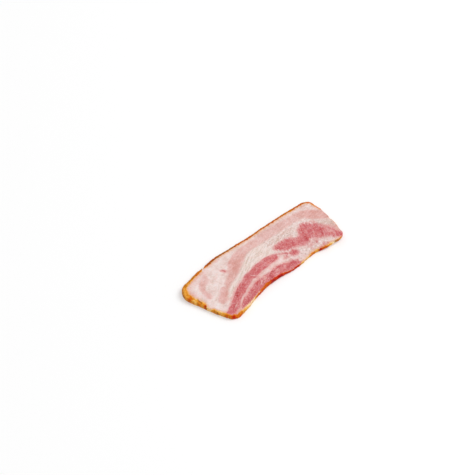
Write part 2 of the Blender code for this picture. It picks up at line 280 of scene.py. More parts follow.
RIM_HANG = 0.5  # how much wider it gets for each millimetre down the side face
HANG_REACH = 2  # this far in from the outline
HANG_WIDTHS = (-1.4, 0)  # not at all up to the first of these widths, in full from the second
# Painted shade: the rim is browner on the side face and underneath, where less light falls
SIDE_SHADE = 0.14  # how much browner it is on the side face and underneath
SHADE_DEPTHS = (0.1, 0.9)  # where that sets in, and from where it is full
# Darker or, below zero, yellower places in it: (s, t, s, t, half width, by how much)
RIM_TONES = (
    (0.6, 11.3, 1.8, 11.9, 2.6, 0.15), (0.4, 26.8, 0.9, 26.6, 1.6, 0.32), (2.8, 24.4, 4, 22.6, 1, -0.12),
    (0.3, 17.2, 1.2, 15.3, 1.4, -0.14), (0.5, 34.8, 1.5, 33.9, 1.2, 0.1), (-1, 45.4, 0, 46.8, 1.6, 0.14),
    (1.4, 53.6, 2.4, 52.8, 2.4, 0.16), (5, 4.4, 8.9, 1.9, 1.4, -0.05), (7, 56.4, 11.4, 57.3, 1.4, 0.2),
    (28.3, 0.3, 37.1, 0.3, 1, 0.08), (52.1, 55.1, 57.9, 54.5, 1.2, -0.06), (101, 58.4, 118, 57, 1.4, 0.25),
    (62.6, 55.7, 66.6, 55.2, 0.9, 0.3), (71.4, 55.8, 77, 55.4, 0.9, 0.25), (80, 56.4, 84, 57, 0.8, 0.2),
)
# Brown blotches in it, likewise
RIM_BROWNS = (
    (2.6, 20.4, 5, 17, 1.1, 0.9), (1.2, 22.4, 3, 21.4, 0.8, 0.7), (-0.6, 20, 0.6, 19.4, 0.9, 0.5),
    (-1.8, 39.6, -0.8, 38.4, 1.2, 0.9), (-1, 36.2, 0.2, 35.6, 0.8, 0.5), (-1.4, 45, -0.4, 45.4, 1.2, 0.6),
    (-0.6, 49.8, 0.4, 49.2, 1, 0.5), (0.2, 27, 0.8, 26.4, 1.2, 0.4), (10, 1, 13, 0.6, 1.2, 0.4),
    (22, 0.4, 25, 0.4, 1, 0.4), (4.6, 14.4, 5.4, 13, 0.8, 0.5), (-1, 13, 0, 9, 1, 0.3),
    (-0.6, 7.4, 8, 0, 1.2, 0.5), (147, 57.4, 150, 57.6, 3, 0.4), (158, 54, 160, 48, 3, 0.4),
    (42, 0, 160, 0, 2.4, 0.35), (44, -0.8, 75, -0.4, 1.8, 0.52), (12, -0.4, 36, -0.6, 1.8, 0.35),
    (125, 58, 128, 57.5, 2, -0.5), (0, 52, 7, 57, 3, -0.3), (139, 58, 143.5, 58, 2.5, -0.6),
)

# Which way the fibres run, as angles from the strip's own direction towards the lean edge
OUTER_GRAIN = -0.46
INNER_GRAIN = -0.1
CUT_END_GRAIN = 1.95
FAT_GRAIN = -0.46

# Noise in the mesh: (height, length of its ripples along, and across, seed)
WANDER_S = (0.5, 7, 7, 11)
WANDER_T = (0.4, 6, 6, 21)
WAVES = (0.14, 19, 15, 31)
FIBRES = (0.05, 6, 1.4, 41)
GAPS = (1, 12, 1.4, 51)
KNOBS = (0.24, 2.4, 2.4, 61)

# Relief of the mesh
LEAN_SUNK = 0.08
GAP_DEPTH = 0.09  # between strands of cream fat
GAP_EDGE = (0.3, 0.9)
GREY_DEPTH = 0.08
CREAM_RELIEF_EDGE = (-1, 2)
CRUST_EDGE = (-0.6, 0.8)
KNOBS_SUNK = 0.06

# Patterns in the material: ripples a millimetre along, across and down, how many finer layers
# each has, and how strong those are
STREAKS = (0.11, 0.75, 0.5, 5.0, 0.62)
CLOUDS = (0.13, 0.16, 0.1, 4.0, 0.6)
FINE = (0.8, 0.8, 0.6, 3.0, 0.6)
GRAIN = (0.65, 0.65, 0.5, 3.0, 0.7)
FAT_DRIFTS = (0.06, 0.3, 0.3, 4.0, 0.6)
FAT_FIBRES = (0.22, 1.5, 1.0, 3.0, 0.6)
FAT_SPECKS = (0.55, 0.55, 0.55, 2.0, 0.5)
FAT_MOTTLES = (0.42, 0.42, 0.42, 3.0, 0.65)
LEAN_FEATHERS = (0.16, 0.75, 0.6, 3.0, 0.6)
LEAN_FIBRES = (0.13, 0.62, 0.6, 5.0, 0.65)
LEAN_CLOUDS = (0.14, 0.14, 0.2, 3.0, 0.5)
LEAN_WARMTH = (0.22, 0.22, 0.22, 3.0, 0.6)
LEAN_VEINS = (0.12, 0.45, 0.6, 4.0, 0.6)
VEINED_PARTS = (0.12, 0.15, 0.2, 2.0, 0.5)
LEAN_THREADS = (0.3, 1.3, 0.6, 3.0, 0.6)
LEAN_DOTS = (0.6, 0.6, 0.5, 3.0, 0.65)
RAGGED_RIM = (0.4, 0.4, 0.4, 4.0, 0.65)
BLOTCHES = (0.3, 0.3, 0.3, 4.0, 0.65)
SMOKE = (0.42, 0.42, 0.42, 4.0, 0.7)
# Where painted highlights lie on the paler crust
CRUST_HIGHLIGHT_SPOTS = (0.6, 0.6, 0.6, 3.0, 0.6)
FINE_FIBRES = (0.3, 2.0, 0.6, 3.0, 0.6)
PORES = (2.2, 2.2, 2.2, 3.0, 0.6)
FINE_KNOBS = (1.3, 1.3, 1.3, 4.0, 0.65)
WETNESS = (0.25, 0.25, 0.25, 3.0, 0.5)

# Shades: the values that they run from and to, and the screen colours on the way
WHITE_SHADES = (-1.1, 1.1, ((0.0, (219, 188, 181)), (0.45, (231, 209, 203)), (1.0, (238, 223, 221))))
CREAM_SHADES = (-1.1, 1.0, (
    (0.0, (204, 180, 164)), (0.25, (220, 198, 188)), (0.55, (231, 212, 205)), (1.0, (238, 224, 219)),
))
PALE_SHADES = (-1.4, 1.4, ((0.0, (203, 138, 126)), (0.5, (217, 160, 152)), (1.0, (229, 187, 182))))
LEAN_SHADES = (-2.1, 1.9, (
    (0.0, (226, 180, 168)), (0.27, (219, 150, 149)), (0.5, (208, 116, 119)), (0.75, (196, 86, 91)),
    (1.0, (176, 56, 60)),
))
RIM_SHADES = (  # by tone
    (0.0, (248, 220, 172)), (0.2, (242, 182, 82)), (0.38, (224, 138, 18)), (0.55, (210, 88, 0)),
    (0.75, (200, 40, 0)), (1.0, (168, 12, 0)),
)
# Browns for the smoke blotches, and for the painted shade on the side face and underneath
SMOKE_AND_SHADE_BROWN = (152, 84, 10)
SMOKE_AND_SHADE_RED = (128, 8, 0)
# Grey of the fat's fibres, also used for the painted shade near the cut end
FIBRE_GREY_AND_SHADE = (190, 164, 140)
CUT_END_FAT = (216, 178, 174)

# Tints: the values at which each sets in and is full, its strength and its screen colour
PINK_TINGE = (0.0, 1.5, 0.85, (220, 152, 147))
BROWN_SPECK = (0.15, 0.6, 0.8, (164, 130, 92))
DARK_MOTTLE = (0.05, 0.9, 0.8, (192, 154, 146))
PALE_MOTTLE = (-0.05, -0.9, 0.75, (246, 236, 236))
RIM_STAIN = (-3.0, 0.4, 0.75, (226, 162, 116))
WARM_LEAN = (-0.2, 1.0, 0.42, (210, 98, 82))
PALE_VEIN = (0.22, 0.0, 0.55, (231, 180, 178))
DARK_THREAD = (0.2, 1.0, 0.36, (160, 70, 72))
DARK_DOT = (-0.25, -0.9, 1.0, (158, 62, 68))
PALE_DOT = (0.25, 0.9, 1.0, (236, 192, 190))
DARK_GRAIN = (0.0, 1.2, 0.22, (88, 60, 60))
PALE_GRAIN = (0.0, -1.2, 0.4, (252, 236, 232))
# Painted highlights on the paler parts of the crust
PAINTED_CRUST_HIGHLIGHT = (0.1, 1.0, 0.55, (240, 188, 124))

# Soft edges in the material, in millimetres inwards
LEAN_EDGE = (-0.75, 0.8)
PALE_EDGE = (-1.9, 1.4)
CREAM_EDGE = (-1.5, 2.5)
RIM_EDGE = (-0.35, 0.45)
RIM_FRINGE = (1.4, 0.1)  # the rim's inner border, which is yellower
# For the layers, and for the cut end
FEATHER_DEPTHS = (0.75, 2.1)
LEAN_SOFTNESS = (1.0, 2.1)
DOT_STRENGTHS = (0.4, 1.0)  # in the inner lean and the cut end, and in the outer lean

# Finest relief, in millimetres
FIBRE_BUMP = 0.075
STREAK_BUMP = 0.06
PORE_BUMP = 0.03
KNOB_BUMP = 0.12

# Gloss and depth
ROUGHNESS = 0.46
WET_CHANGE = 0.07
CRUST_DULLNESS = 0.06
BACON_SOCKETS = {
    "Specular IOR Level": 0.1,
    "Subsurface Weight": 0.1,
    "Subsurface Radius": (1.0, 0.45, 0.35),
    "Subsurface Scale": 1.0 * MM,
}

# The camera, from the photograph's view
AZIMUTH = -47.92
ELEVATION = 43.0
LENS = 300.0
SENSOR = 36.0
FRAME_WIDTH = 0.415  # metres across the picture at the slice
PICTURE = 475
ORIGIN_PIXEL = (263.7, 261.4)  # where the middle of the slice's underside appears

# The floor, in metres, and the lights. A light has a direction (to the camera's right, away from
# it, up), a distance, a width and a power.
FLOOR_HALF = 3.0
FLOOR_SOCKETS = {
    "Base Color": (0.72, 0.72, 0.72, 1.0),
    "Emission Color": (1.0, 1.0, 1.0, 1.0),
    "Emission Strength": 0.24,
    "Roughness": 0.9,
    "Specular IOR Level": 0.1,
}
LIGHTS = {
    "key_light": ((1.0, 0.35, 1.0), 3.6, 2.1, 72),
    "front_light": ((-0.2, -0.8, 1.2), 4.2, 3.0, 27),
}
WORLD_LIGHT = 0.62


def hill(x, centre, half_width):
    """A smooth hill: 1 at its centre, 0 from half_width away."""
    share = np.clip(np.abs(x - centre) / half_width, 0, 1)
    return (1 - share**2) ** 2


def step(x, low, high):
    """Runs smoothly from 0 at low to 1 at high."""
    share = np.clip((x - low) / (high - low), 0, 1)
    return share * share * (3 - 2 * share)


def bumps(x, rows):
    """The sum of several hills along one edge."""
    return sum(height * hill(x, centre, half) for centre, half, height in rows)


def mounds(s, t, rows):
    """The sum of several hills over the face of the slice."""
    total = np.zeros_like(s)
    for s_mid, t_mid, s_half, t_half, height in rows:
        total += height * hill(s, s_mid, s_half) * hill(t, t_mid, t_half)
    return total


def noise(x, y, seed):
    """Smooth noise, about -1 to 1, with one ripple for each unit of x and y."""
    size = 128
    angles = np.random.default_rng(seed).random((size, size)) * 2 * np.pi
    column = np.floor(x).astype(int)
    row = np.floor(y).astype(int)
    u = x - column
    v = y - row

    def corner(du, dv):
        angle = angles[(column + du) % size, (row + dv) % size]
        return np.cos(angle) * (u - du) + np.sin(angle) * (v - dv)

    across = u**3 * (u * (u * 6 - 15) + 10)
    along = v**3 * (v * (v * 6 - 15) + 10)
    near = corner(0, 0) * (1 - across) + corner(1, 0) * across
    far = corner(0, 1) * (1 - across) + corner(1, 1) * across
    return 1.5 * (near * (1 - along) + far * along)


def rippled(x, y, ripples, layers=3):
    """Noise with given ripples: (height, length along x, length along y, seed). Each further
    layer is finer and weaker."""
    height, length_x, length_y, seed = ripples
    x = x / length_x
    y = y / length_y
    return height * sum(noise(x * 2**n, y * 2**n, seed + n) / 2**n for n in range(layers))


def rind_line(share):
    """The rind edge, seen from above, from 0 at the browned end to 1 at the cut end."""
    x = RIND_X[0] + (RIND_X[1] - RIND_X[0]) * share
    past_bend = np.maximum(0, RIND_BEND_X - x)
    return x, RIND_Y + RIND_SLOPE * x - past_bend**2 / (2 * RIND_BEND_RADIUS)


def lean_line(share):
    """The lean edge, seen from above, likewise."""
    x = LEAN_X[0] + (LEAN_X[1] - LEAN_X[0]) * share
    radius = np.where(x < LEAN_CREST_X, LEAN_BROWNED_BOW, LEAN_CUT_BOW)
    return x, LEAN_Y - (x - LEAN_CREST_X) ** 2 / (2 * radius)


def place(s, t):
    """X and Y of a place on the slice: straight across between the two bowed edges."""
    rind_x, rind_y = rind_line(s / LENGTH)
    lean_x, lean_y = lean_line(s / LENGTH)
    across = t / WIDTH
    return rind_x + (lean_x - rind_x) * across, rind_y + (lean_y - rind_y) * across


def round_corner(s, t, corner_s, corner_t, radius):
    """Moves the points of a square corner so that its outline becomes a quarter circle."""
    inward_s = 1 if corner_s == 0 else -1
    inward_t = 1 if corner_t == 0 else -1
    a = 1 - (s - corner_s) * inward_s / radius
    b = 1 - (t - corner_t) * inward_t / radius
    near = (a > 0) & (b > 0)
    a = np.clip(a, 0, 1)
    b = np.clip(b, 0, 1)
    round_s = corner_s + inward_s * radius * (1 - a * np.sqrt(1 - b**2 / 2))
    round_t = corner_t + inward_t * radius * (1 - b * np.sqrt(1 - a**2 / 2))
    return np.where(near, round_s, s), np.where(near, round_t, t)


def notch(s):
    """How far the rind edge steps in past the end of its outer layer."""
    past = (s - NOTCH_S) / NOTCH_LENGTH
    return np.where(past > 0, NOTCH_DEPTH * np.clip(1 - past, 0, 1) ** 2, 0)


def ragged(x, seed, depth):
    """Small irregular steps inwards along an edge."""
    return depth * (0.5 + rippled(x, np.full_like(x, 0.5), (0.5, FRAY_LENGTH, 1, seed)))


def crowded(count):
    """Shares from 0 to 1 that lie closer together towards both ends."""
    share = np.linspace(0, 1, count + 1)
    return share - CROWDING * np.sin(2 * np.pi * share) / (2 * np.pi)


def strip_grid(inset):
    """s and t of a grid over the whole slice, its outline pulled in by inset all round."""
    s, t = np.meshgrid(LENGTH * crowded(COLUMNS), WIDTH * crowded(ROWS), indexing="ij")
    s, t = round_corner(s, t, 0, 0, RIND_BROWNED_RADIUS)
    s, t = round_corner(s, t, 0, WIDTH, LEAN_BROWNED_RADIUS)
    s, t = round_corner(s, t, LENGTH, 0, RIND_CUT_RADIUS)
    s, t = round_corner(s, t, LENGTH, WIDTH, LEAN_CUT_RADIUS)
    along = s / LENGTH
    across = t / WIDTH
    start = inset - bumps(t, BROWNED_BUMPS) + ragged(t, *BROWNED_FRAY)
    stop = LENGTH - inset + bumps(t, CUT_BUMPS) - ragged(t, *CUT_FRAY)
    rind = inset + notch(s) - RIND_OUTSET - bumps(s, RIND_BUMPS)
    rind = rind + ragged(s, *RIND_FRAY) - FRAYED_RIND_OUTSET
    lean = WIDTH - LEAN_INSET - inset + bumps(s, LEAN_BUMPS) - ragged(s, *LEAN_FRAY)
    return start + (stop - start) * along, rind + (lean - rind) * across


def surface_points(s, t, drop, top):
    """Points on the upper or lower face, drop inwards from it."""
    x, y = place(s, t)
    z = np.maximum(0, mounds(s, t, LIFTS) - SAG)
    z = z + THICKNESS + mounds(s, t, SWELLS) - drop if top else z + drop
    return np.stack([x, y, z], axis=-1)


def border(grid):
    """The points round the edge of a grid, anticlockwise seen from above."""
    return np.concatenate([grid[:-1, -1], grid[-1, :0:-1], grid[:0:-1, 0], grid[0, :-1]])


def grid_faces(numbers):
    """Quads that look up over a grid of vertex numbers."""
    corners = (numbers[:-1, :-1], numbers[:-1, 1:], numbers[1:, 1:], numbers[1:, :-1])
    return np.stack(corners, axis=-1).reshape(-1, 4)


def ring_faces(upper, lower):
    """Quads that look outwards between two closed rows of vertex numbers."""
    return np.stack([upper, lower, np.roll(lower, -1), np.roll(upper, -1)], axis=-1)


class Strip:
    """The slice's bare form: its points, the place (s, t, depth) of each one, and its faces."""

    def __init__(self):
        self.points = []
        self.places = []
        self.faces = []
        self.count = 0
        turns = np.linspace(0, np.pi / 2, RIM_STEPS + 1)
        rim = [(1 - math.sin(turn), 1 - math.cos(turn)) for turn in turns]
        upper_rings = [self.level(inset, drop, top=True) for inset, drop in rim]
        lower_rings = [self.level(inset, drop, top=False) for inset, drop in rim]
        rings = [self.add_face(upper_rings[0], top=True)]
        for ring in upper_rings[1:]:
            rings.append(self.add_ring(ring))
        for part in range(1, SIDE_STEPS):
            share = part / SIDE_STEPS
            rings.append(self.add_ring(upper_rings[-1] * (1 - share) + lower_rings[-1] * share))
        for ring in lower_rings[:0:-1]:
            rings.append(self.add_ring(ring))
        rings.append(self.add_face(lower_rings[0], top=False))
        for upper, lower in zip(rings, rings[1:]):
            self.faces.append(ring_faces(upper, lower))
        self.points = np.concatenate(self.points)
        self.places = np.concatenate(self.places)
        self.faces = np.concatenate(self.faces)
        self.outline = upper_rings[-1]

    def level(self, inset, drop, top):
        """A grid of (x, y, z, s, t, depth) on one face, with its rim pulled in and down."""
        s, t = strip_grid(inset * EDGE_ROUND)
        points = surface_points(s, t, drop * EDGE_ROUND, top)
        depth = np.full_like(s, drop * EDGE_ROUND if top else THICKNESS - drop * EDGE_ROUND)
        return np.concatenate([points, np.stack([s, t, depth], axis=-1)], axis=-1)

    def add(self, rows):
        """Stores rows of (x, y, z, s, t, depth) and returns their vertex numbers."""
        rows = rows.reshape(-1, 6)
        self.points.append(rows[:, :3])
        self.places.append(rows[:, 3:])
        self.count += len(rows)
        return np.arange(self.count - len(rows), self.count)

    def add_face(self, grid, top):
        numbers = self.add(grid).reshape(grid.shape[:2])
        faces = grid_faces(numbers)
        self.faces.append(faces if top else faces[:, ::-1])
        return border(numbers)

    def add_ring(self, ring):
        return self.add(border(ring))


def closed_curve(places):
    """A smooth closed line through places."""
    knots = np.array(places, dtype=float)
    before, after, later = (np.roll(knots, shift, axis=0) for shift in (1, -1, -2))
    share = np.linspace(0, 1, CURVE_STEPS, endpoint=False)[:, None, None]
    curve = 0.5 * (
        2 * knots
        + (after - before) * share
        + (2 * before - 5 * knots + 4 * after - later) * share**2
        + (3 * knots - before - 3 * after + later) * share**3
    )
    return curve.transpose(1, 0, 2).reshape(-1, 2)


def line_distance(s, t, start, stop):
    """How far places are from a straight line between two of them."""
    along = (stop[0] - start[0], stop[1] - start[1])
    share = ((s - start[0]) * along[0] + (t - start[1]) * along[1]) / (along[0] ** 2 + along[1] ** 2)
    share = np.clip(share, 0, 1)
    return np.hypot(s - start[0] - share * along[0], t - start[1] - share * along[1])


def depth_inside(s, t, outline):
    """How far inside an outline places are, below zero outside it."""
    curve = closed_curve(outline)
    low = curve.min(axis=0) - FAR
    high = curve.max(axis=0) + FAR
    near = (s > low[0]) & (s < high[0]) & (t > low[1]) & (t < high[1])
    near_s, near_t = s[near], t[near]
    distance = np.full(near_s.shape, FAR)
    inside = np.zeros(near_s.shape, dtype=bool)
    for start, stop in zip(curve, np.roll(curve, -1, axis=0)):
        distance = np.minimum(distance, line_distance(near_s, near_t, start, stop))
        if start[1] != stop[1]:
            crossing = start[0] + (near_t - start[1]) * (stop[0] - start[0]) / (stop[1] - start[1])
            inside ^= ((start[1] > near_t) != (stop[1] > near_t)) & (near_s < crossing)
    result = np.full(s.shape, -FAR)
    result[near] = np.where(inside, distance, -distance)
    return result


def depth_in_lines(s, t, rows):
    """Likewise for several thin lines with round ends."""
    depths = [half - line_distance(s, t, row[:2], row[2:4]) for *row, half in rows]
    return np.clip(np.max(depths, axis=0), -FAR, FAR)


def strokes(s, t, rows):
    """The sum of several soft brush strokes over the face of the slice."""
    total = np.zeros_like(s)
    for *row, half_width, amount in rows:
        total += amount * hill(line_distance(s, t, row[:2], row[2:4]), 0, half_width)
    return total


def way_round(outline):
    """Distances along a closed line to each of its points, and at the end its length."""
    steps = np.linalg.norm(np.diff(outline[:, :2], axis=0, append=outline[:1, :2]), axis=1)
    return np.concatenate([[0], np.cumsum(steps)])


def rim_fields(strip, s, t):
    """How far each point is inside the browned rim, and the rim's tone there."""
    outline = border(strip.outline)
    way = way_round(outline)
    tree = kdtree.KDTree(len(outline))
    for number, (x, y) in enumerate(outline[:, :2]):
        tree.insert((x, y, 0), number)
    tree.balance()
    nearest = [tree.find((x, y, 0)) for x, y in strip.points[:, :2]]
    inward = np.array([found[2] for found in nearest])
    at = way[[found[1] for found in nearest]]
    stops = []
    for rim_s, rim_t, width, tone in RIM:
        x, y = place(np.array(float(rim_s)), np.array(float(rim_t)))
        stops.append((way[tree.find((x, y, 0))[1]], width, tone))
    ways, widths, tones = np.array(sorted(stops)).T
    width = np.interp(at, ways, widths, period=way[-1])
    tone = np.interp(at, ways, tones, period=way[-1])
    hang = RIM_HANG * strip.places[:, 2] * hill(inward, 0, HANG_REACH) * step(width, *HANG_WIDTHS)
    return width + RIM_START - inward + hang, tone + strokes(s, t, RIM_TONES)


def turned(s, t, angle):
    """Distances along and across a direction that leans by angle from the strip's own."""
    return s * np.cos(angle) + t * np.sin(angle), t * np.cos(angle) - s * np.sin(angle)


def along_line(s, line):
    """The second value of a line of (s, value) at each s."""
    return np.interp(s, *zip(*line))


def fields(strip):
    """Everything that the slice's finish depends on, for each point."""
    s, t, depth = strip.places.T
    rim, rim_tone = rim_fields(strip, s, t)
    s_seen = s + rippled(s, t, WANDER_S) + SLANT[0] * depth
    t_seen = t + rippled(s, t, WANDER_T) + SLANT[1] * depth
    leans = (LEAN_OUTER, LEAN_INNER, LEAN_CUT_END, OVAL_LEAN)
    depths = [depth_inside(s_seen, t_seen, outline) for outline in leans]
    lean = np.maximum(np.max(depths, axis=0), depth_in_lines(s_seen, t_seen, LEAN_LINES))
    lean = np.minimum(lean, -depth_in_lines(s_seen, t_seen, FAT_LINES))
    band = depth_inside(s_seen, t_seen, PALE_BAND)
    streak = depth_inside(s_seen, t_seen, PALE_STREAK)
    strengths = along_line(s, STREAK_STRENGTH), along_line(s, BAND_STRENGTH)
    cut_end = step(s, *CUT_END_START)
    return {
        "lean": lean,
        "pale": np.maximum(band, streak),
        "pale_strength": np.where(streak > band, *strengths),
        "cream": depth_inside(s_seen, t_seen, CREAM_FAT),
        "outer": step(depths[0] - depths[1], *LAYER_EDGE) * (1 - cut_end),
        "cut_end": cut_end,
        "lean_tone": strokes(s_seen, t_seen, LEAN_TONES),
        "fat_pink": strokes(s_seen, t_seen, FAT_PINKS),
        # Greyish fibres, and painted shade near the cut end
        "fat_grey_and_shade": strokes(s_seen, t_seen, FAT_GREYS_AND_SHADE),
        "specks": strokes(s_seen, t_seen, SPECKS),
        "rim": rim,
        "rim_tone": rim_tone,
        # Brown blotches, and painted shade on the side face and underneath
        "rim_brown_and_shade": strokes(s, t, RIM_BROWNS) + SIDE_SHADE * step(depth, *SHADE_DEPTHS),
        "place": np.stack([s, t, depth], axis=-1),
        "layers": np.stack([s, t - along_line(s, INNER_LEAN_LINE), depth], axis=-1),
    }


def relief(values):
    """How far the surface stands out or lies back at each point."""
    s, t, depth = values["place"].T
    lean = step(values["lean"], *LAYER_EDGE)
    crust = step(values["rim"], *CRUST_EDGE)
    inner = 1 - crust
    waves = rippled(s, t, WAVES)
    sunk = -LEAN_SUNK * lean * inner
    fibres = 0
    for angle, share in (
        (OUTER_GRAIN, values["outer"]),
        (INNER_GRAIN, (1 - values["outer"]) * (1 - values["cut_end"])),
        (CUT_END_GRAIN, values["cut_end"]),
    ):
        fibres += rippled(*turned(s, t, angle), FIBRES, layers=1) * share * lean * inner
    gaps = -GAP_DEPTH * step(rippled(*turned(s, t, FAT_GRAIN), GAPS, layers=1), *GAP_EDGE)
    gaps = gaps - GREY_DEPTH * np.clip(values["fat_grey_and_shade"], 0, 1)
    gaps = gaps * step(values["cream"], *CREAM_RELIEF_EDGE) * (1 - lean) * inner
    knobs = (rippled(s + depth, t + depth, KNOBS) - KNOBS_SUNK) * crust
    return waves + sunk + fibres + gaps + knobs


def sheet_places(strip):
    """Where each face's corners lie on the flat sheet: both faces, then the side in rows."""
    flat = strip.points[:, :2] - strip.points[:, :2].min(axis=0) + SHEET_GAP
    height = flat[:, 1].max()
    quads = COLUMNS * ROWS
    top = flat[strip.faces[:quads]]
    mirrored = np.stack([flat[:, 0].max() + SHEET_GAP - flat[:, 0], flat[:, 1] + height], axis=-1)
    under = mirrored[strip.faces[quads : 2 * quads]]

    way = way_round(border(strip.outline))
    count = len(way) - 1
    rings = (len(strip.faces) - 2 * quads) // count
    row = np.floor(way[:-1] / way[-1] * SHEET_ROWS)
    start = way[:-1] - row * way[-1] / SHEET_ROWS + SHEET_GAP
    stop = start + np.diff(way)
    side = []
    for ring in range(rings):
        upper = 2 * height + row * (rings * SHEET_STEP + SHEET_GAP) + (rings - ring) * SHEET_STEP
        lower = upper - SHEET_STEP
        side.append(np.stack([start, upper, start, lower, stop, lower, stop, upper], axis=-1))
    return np.concatenate([top.reshape(-1, 8), under.reshape(-1, 8), *side]) / SHEET


def centred(points, bare_points):
    """Moves points to the CAD solid's frame and keeps them inside its box."""
    middle = (bare_points.min(axis=0) + bare_points.max(axis=0)) / 2
    middle[2] = bare_points[:, 2].min()
    low, high = (np.array(corner) / MM for corner in cad_box)
    return np.clip(points - middle, low + BOX_MARGIN, high - BOX_MARGIN)


def slice_mesh():
    """The closed mesh in metres, with its fields stored on its points."""
    strip = Strip()
    data = bpy.data.meshes.new("smoked_bacon_slice")
    data.from_pydata(strip.points.tolist(), [], strip.faces.tolist())
    data.shade_smooth()
    data.uv_layers.new(name="OFBake").uv.foreach_set("vector", sheet_places(strip).ravel())
    normals = np.empty(len(strip.points) * 3)
    data.vertices.foreach_get("normal", normals)
    values = fields(strip)
    points = strip.points + normals.reshape(-1, 3) * relief(values)[:, None]
    points = centred(points, strip.points) * MM
    data.vertices.foreach_set("co", points.ravel())
    for name, value in values.items():
        kind = "FLOAT" if value.ndim == 1 else "FLOAT_VECTOR"
        key = "value" if value.ndim == 1 else "vector"
        data.attributes.new(name, kind, "POINT").data.foreach_set(key, value.ravel())
    data.update()
    return data


def colour(red, green, blue):
    """A colour for a shader, from screen values of 0 to 255."""
    shares = [value / 255 for value in (red, green, blue)]
    return tuple(c / 12.92 if c < 0.04 else ((c + 0.055) / 1.055) ** 2.4 for c in shares) + (1.0,)


class Graph:
    """Adds shader nodes to a material, each set and wired in one call."""

    def __init__(self, material):
        material.use_nodes = True
        self.tree = material.node_tree
        self.shader = self.tree.nodes["Principled BSDF"]

    def plug(self, value, socket):
        """Wires another node's output to a socket, or sets the socket to a plain value."""
        if isinstance(value, bpy.types.NodeSocket):
            self.tree.links.new(value, socket)
        else:
            socket.default_value = value

    def node(self, kind, sockets, **settings):
        made = self.tree.nodes.new("ShaderNode" + kind)
        for name, value in settings.items():
            setattr(made, name, value)
        for key, value in sockets.items():
            self.plug(value, made.inputs[key])
        return made

    def field(self, name, output="Fac"):
        return self.node("Attribute", {}, attribute_name=name).outputs[output]

    def maths(self, operation, *values):
        return self.node("Math", dict(enumerate(values)), operation=operation).outputs[0]

    def plus(self, *terms):
        return reduce(lambda total, term: self.maths("ADD", total, term), terms)

    def times(self, *terms):
        return reduce(lambda total, term: self.maths("MULTIPLY", total, term), terms)

    def step(self, value, low, high):
        """Runs smoothly from 0 at low to 1 at high."""
        sockets = {0: value, 1: low, 2: high, 3: 0.0, 4: 1.0}
        return self.node("MapRange", sockets, interpolation_type="SMOOTHSTEP").outputs[0]

    def turned(self, coordinates, angle):
        """Coordinates along and across a direction that leans by angle."""
        sockets = {"Vector": coordinates, "Angle": -angle}
        return self.node("VectorRotate", sockets, rotation_type="Z_AXIS").outputs[0]

    def noise(self, coordinates, pattern):
        """Noise of about -1 to 1 in one of the patterns above."""
        *ripples, layers, roughness = pattern
        stretched = self.node("VectorMath", {0: coordinates, 1: ripples}, operation="MULTIPLY")
        sockets = {
            "Vector": stretched.outputs[0], "Scale": 1.0, "Detail": layers, "Roughness": roughness,
        }
        value = self.node("TexNoise", sockets).outputs["Fac"]
        sockets = {0: value, 1: 0.25, 2: 0.75, 3: -1.0, 4: 1.0}
        return self.node("MapRange", sockets, clamp=False).outputs[0]

    def mix(self, share, first, second):
        """Runs from the first colour to the second as share goes from 0 to 1."""
        return self.node("Mix", {0: share, 6: first, 7: second}, data_type="RGBA").outputs[2]

    def blend(self, share, first, second):
        """The same for plain numbers."""
        return self.node("Mix", {0: share, 2: first, 3: second}, data_type="FLOAT").outputs[0]

    def tint(self, base, tint, value, *shares):
        """Mixes a tint into a colour where value sets it in, and by the given shares."""
        low, high, strength, shade = tint
        share = self.times(self.step(value, low, high), *shares, strength)
        return self.mix(share, base, colour(*shade))

    def ramp(self, value, stops):
        """Colours from a list of (position, screen colour)."""
        made = self.node("ValToRGB", {"Fac": value})
        elements = made.color_ramp.elements
        while len(elements) < len(stops):
            elements.new(0.5)
        for element, (position, shade) in zip(elements, stops):
            element.position = position
            element.color = colour(*shade)
        return made.outputs["Color"]

    def shaded(self, value, shades):
        """Colours from one of the sets of shades above."""
        low, high, stops = shades
        return self.ramp(self.step(value, low, high), stops)


